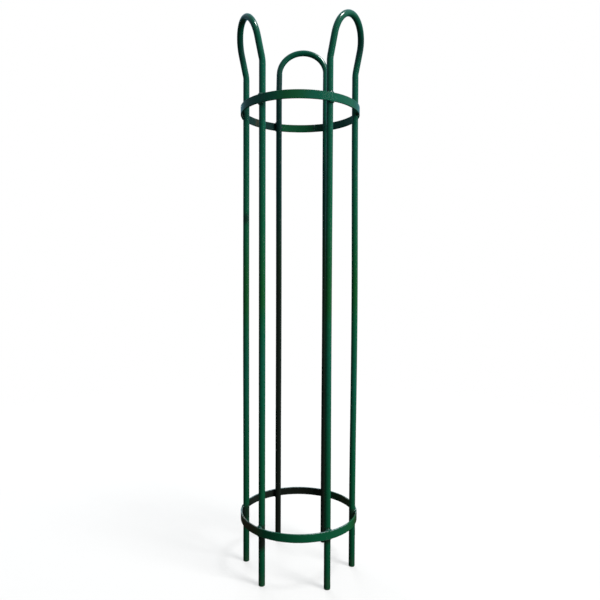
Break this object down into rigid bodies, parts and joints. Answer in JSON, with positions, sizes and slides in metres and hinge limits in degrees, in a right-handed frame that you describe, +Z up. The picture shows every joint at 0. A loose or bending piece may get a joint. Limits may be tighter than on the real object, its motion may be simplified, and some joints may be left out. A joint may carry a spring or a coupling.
{
  "type": "tree guard",
  "caption": "Tall open cage of bent round bars welded inside flat hoops, with flared looped tops and straight legs, painted green.",
  "frame": {"origin": "on the hoops' common axis, level with the cut ends of the six legs", "axes": "+Z up along the hoops' axis; +Y towards the rear hairpin; the left and right hairpins face the front, on each side of -Y"},
  "size_m": [0.3176, 0.3059, 1.3753],
  "materials": {
    "gloss_green_paint": "gloss",
    "painted_weld": "gloss, uneven"
  },
  "bodies": {
    "root": {"hairpin_left": "gloss_green_paint", "hairpin_right": "gloss_green_paint", "hairpin_rear": "gloss_green_paint", "upper_hoop": "gloss_green_paint", "lower_hoop": "gloss_green_paint", "upper_hoop_seam_weld": "painted_weld", "lower_hoop_seam_weld": "painted_weld", "upper_hoop_top_welds": "painted_weld", "upper_hoop_bottom_welds": "painted_weld", "lower_hoop_top_welds": "painted_weld", "lower_hoop_bottom_welds": "painted_weld"}
  },
  "joints": []
}
